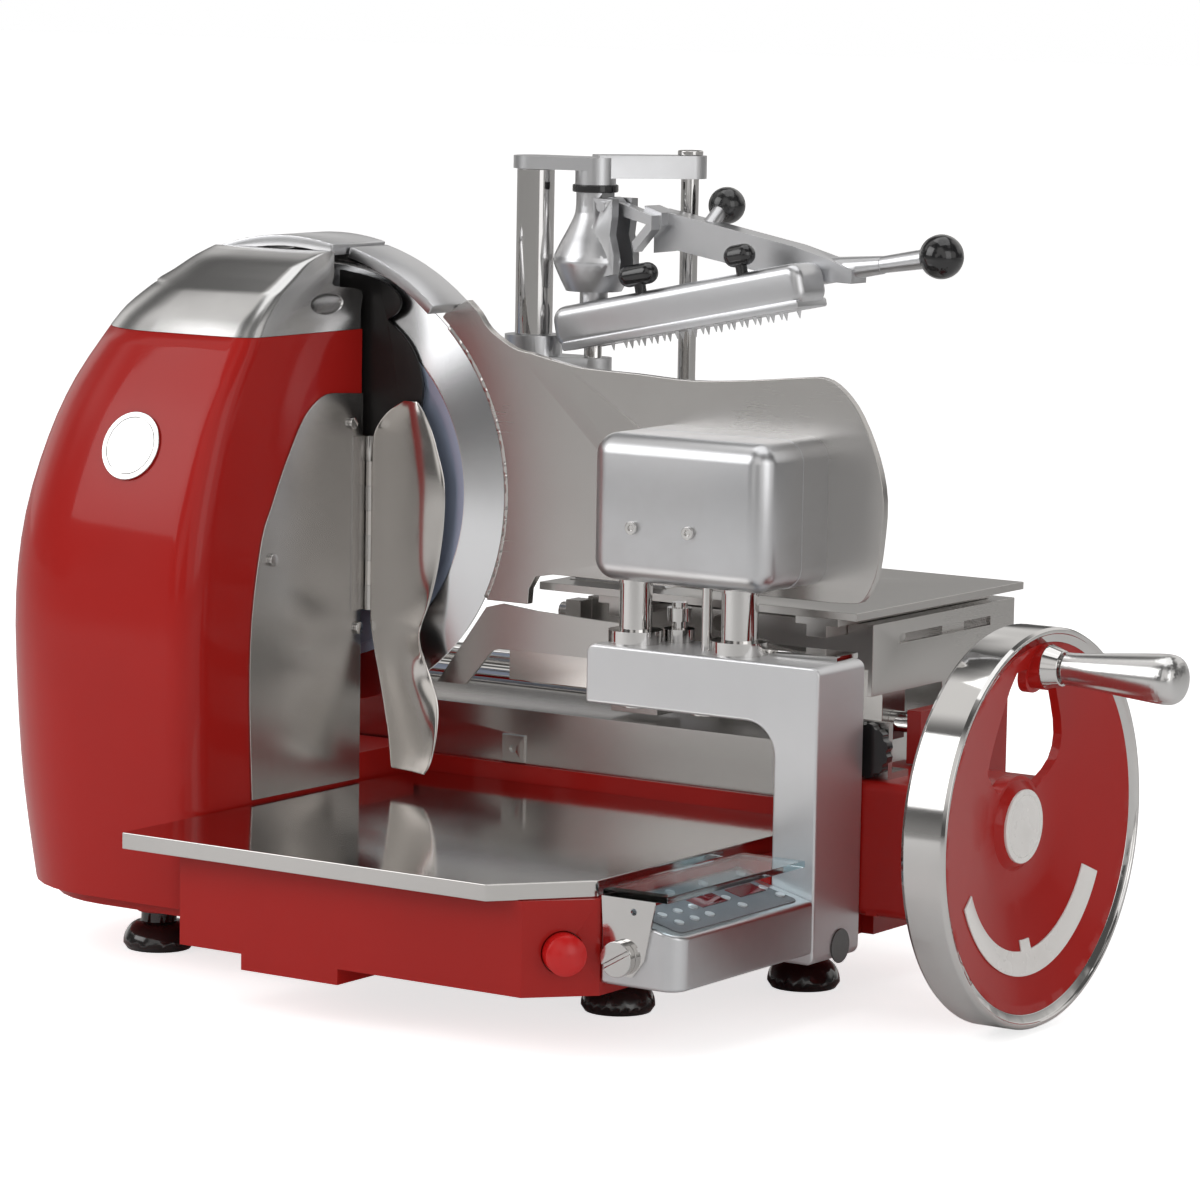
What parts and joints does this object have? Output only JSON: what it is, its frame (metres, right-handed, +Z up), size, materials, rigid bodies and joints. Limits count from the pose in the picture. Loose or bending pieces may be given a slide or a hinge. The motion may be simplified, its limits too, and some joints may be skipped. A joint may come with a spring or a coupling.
{
  "type": "hand crank meat slicer",
  "caption": "Hand crank meat slicer with a dished flywheel, an upright round blade in a rounded housing, a sliding meat table with toothed clamp, a slice tray and a control panel.",
  "frame": {"origin": "middle of the overall box at rest, at the level of the table it stands on", "axes": "+X along the carriage stroke towards the flywheel, +Y along the blade axis away from the slice tray, +Z up"},
  "size_m": [0.9598, 0.596, 0.632],
  "materials": {
    "red_paint": "gloss enamel",
    "bright_cast": "polished",
    "satin_sheet": "brushed",
    "polished_steel": "polished",
    "blade_steel": "ground and polished",
    "machined_steel": "machined",
    "dark_metal": "satin black",
    "black_knob": "moulded",
    "rubber": "matt",
    "belt_rubber": "matt",
    "gear_bronze": "cut",
    "plate_white": "printed plate left blank",
    "panel_film": "membrane",
    "panel_display": "tinted window",
    "shield_clear": "clear",
    "stop_red": "moulded",
    "stone": "abrasive"
  },
  "bodies": {
    "frame": {"base_casting": "red_paint", "feet": "rubber", "blade_housing": "red_paint", "housing_badge": "bright_cast", "ring_guard": "polished_steel", "inner_plate": "dark_metal", "bearings": "machined_steel", "drive_belt": "belt_rubber", "side_plate": "satin_sheet", "fixed_screws": "polished_steel", "hinge_leaf": "polished_steel", "gauge_posts": "polished_steel", "arm_column": "bright_cast", "column_plug": "rubber", "lower_guard": "satin_sheet", "receiving_tray": "polished_steel", "rail_cover": "satin_sheet", "panel_box": "bright_cast", "panel_overlay": "panel_film", "panel_windows": "panel_display", "shield_bracket": "polished_steel", "shield": "shield_clear", "thickness_bracket": "satin_sheet", "carriage_rails": "polished_steel", "rail_brackets": "red_paint", "gear_housing": "red_paint", "sharpener": "stone"},
    "cover": {"sharpener_cover": "bright_cast", "cover_visor": "satin_sheet"},
    "blade": {"blade": "blade_steel", "blade_shaft": "machined_steel"},
    "flywheel": {"flywheel_disc": "red_paint", "flywheel_rim": "polished_steel", "wheel_plates": "plate_white", "crank_pin": "polished_steel", "flywheel_shaft": "machined_steel"},
    "idler": {"idler_gear": "gear_bronze"},
    "layshaft": {"layshaft": "machined_steel"},
    "cross_shaft": {"cross_shaft": "machined_steel"},
    "grip": {"crank_grip": "bright_cast"},
    "carriage": {"carriage_body": "satin_sheet", "feed_rod": "polished_steel"},
    "table": {"meat_table": "satin_sheet", "post_pedestal": "bright_cast", "clamp_posts": "polished_steel", "top_bridge": "bright_cast", "clamp_bush": "black_knob"},
    "clamp_head": {"clamp_head": "bright_cast"},
    "lever": {"lever_bar": "bright_cast", "lever_balls": "black_knob"},
    "pusher": {"pusher_bar": "bright_cast"},
    "t_knob_left": {"t_knob_left": "black_knob"},
    "t_knob_right": {"t_knob_right": "black_knob"},
    "gauge": {"gauge_plate": "satin_sheet", "gauge_cover_front": "bright_cast", "gauge_cover_back": "bright_cast", "cover_screws": "polished_steel"},
    "thickness_knob": {"thickness_knob": "black_knob"},
    "deflector": {"deflector": "satin_sheet"},
    "stop_button": {"stop_button": "stop_red"}
  },
  "joints": [
    {"name": "cover_hinge", "type": "hinge", "parent": "frame", "child": "cover", "pos_m": [-0.42024, -0.016, 0.48815], "axis": [0, -1, 0], "range_deg": [0, 70]},
    {"name": "flywheel_spin", "type": "hinge", "parent": "frame", "child": "flywheel", "pos_m": [0.3045, 0.036, 0.1525], "axis": [1, 0, 0], "continuous": true},
    {"name": "grip_spin", "type": "hinge", "parent": "flywheel", "child": "grip", "pos_m": [0.4345, 0.036, 0.2725], "axis": [1, 0, 0], "continuous": true},
    {"name": "idler_spin", "type": "hinge", "parent": "frame", "child": "idler", "pos_m": [0.2715, 0.06631, 0.135], "axis": [1, 0, 0], "continuous": true},
    {"name": "layshaft_spin", "type": "hinge", "parent": "frame", "child": "layshaft", "pos_m": [0.0245, 0.09662, 0.1175], "axis": [1, 0, 0], "continuous": true},
    {"name": "cross_shaft_spin", "type": "hinge", "parent": "frame", "child": "cross_shaft", "pos_m": [-0.2755, 0.02, 0.1175], "axis": [0, 1, 0], "continuous": true},
    {"name": "blade_spin", "type": "hinge", "parent": "frame", "child": "blade", "pos_m": [-0.2755, -0.02, 0.362], "axis": [0, 1, 0], "continuous": true},
    {"name": "carriage_slide", "type": "slide", "parent": "frame", "child": "carriage", "axis": [1, 0, 0], "range_m": [-0.28, 0]},
    {"name": "table_feed", "type": "slide", "parent": "carriage", "child": "table", "axis": [0, 1, 0], "range_m": [0, 0.15]},
    {"name": "clamp_swivel", "type": "hinge", "parent": "table", "child": "clamp_head", "pos_m": [-0.0695, 0.09, 0.56], "axis": [0, 0, 1], "range_deg": [-6, 5]},
    {"name": "lever_tilt", "type": "hinge", "parent": "clamp_head", "child": "lever", "pos_m": [-0.0515, 0.09, 0.589], "axis": [0, 1, 0], "range_deg": [-6, 6]},
    {"name": "pusher_tilt", "type": "hinge", "parent": "clamp_head", "child": "pusher", "pos_m": [-0.0695, 0.09, 0.5], "axis": [0, 1, 0], "range_deg": [-6, 6]},
    {"name": "left_knob_turn", "type": "hinge", "parent": "pusher", "child": "t_knob_left", "pos_m": [-0.01343, 0.072, 0.525], "axis": [-0.2045, 0, 0.9789], "range_deg": [-90, 90]},
    {"name": "right_knob_turn", "type": "hinge", "parent": "pusher", "child": "t_knob_right", "pos_m": [0.07859, 0.072, 0.54422], "axis": [-0.2045, 0, 0.9789], "range_deg": [-90, 90]},
    {"name": "gauge_slide", "type": "slide", "parent": "frame", "child": "gauge", "axis": [0, -1, 0], "range_m": [0, 0.01]},
    {"name": "thickness_turn", "type": "hinge", "parent": "frame", "child": "thickness_knob", "pos_m": [0.2285, 0.02, 0.198], "axis": [0, 1, 0], "range_deg": [0, 300]},
    {"name": "deflector_swing", "type": "hinge", "parent": "frame", "child": "deflector", "pos_m": [-0.221, 0.0034, 0.335], "axis": [0, 0, 1], "range_deg": [-80, 0]},
    {"name": "stop_press", "type": "slide", "parent": "frame", "child": "stop_button", "axis": [-0.7328, 0.6804, 0], "range_m": [0, 0.004], "stiffness_N_per_m": 900, "springref_m": -0.001}
  ],
  "couplings": [
    {"joint": "idler_spin", "follows": "flywheel_spin", "ratio": -1},
    {"joint": "layshaft_spin", "follows": "flywheel_spin", "ratio": 1},
    {"joint": "cross_shaft_spin", "follows": "flywheel_spin", "ratio": 1},
    {"joint": "blade_spin", "follows": "flywheel_spin", "ratio": 2},
    {"joint": "pusher_tilt", "follows": "lever_tilt", "ratio": 1},
    {"joint": "thickness_turn", "follows": "gauge_slide", "rad_per_m": 523.6}
  ]
}
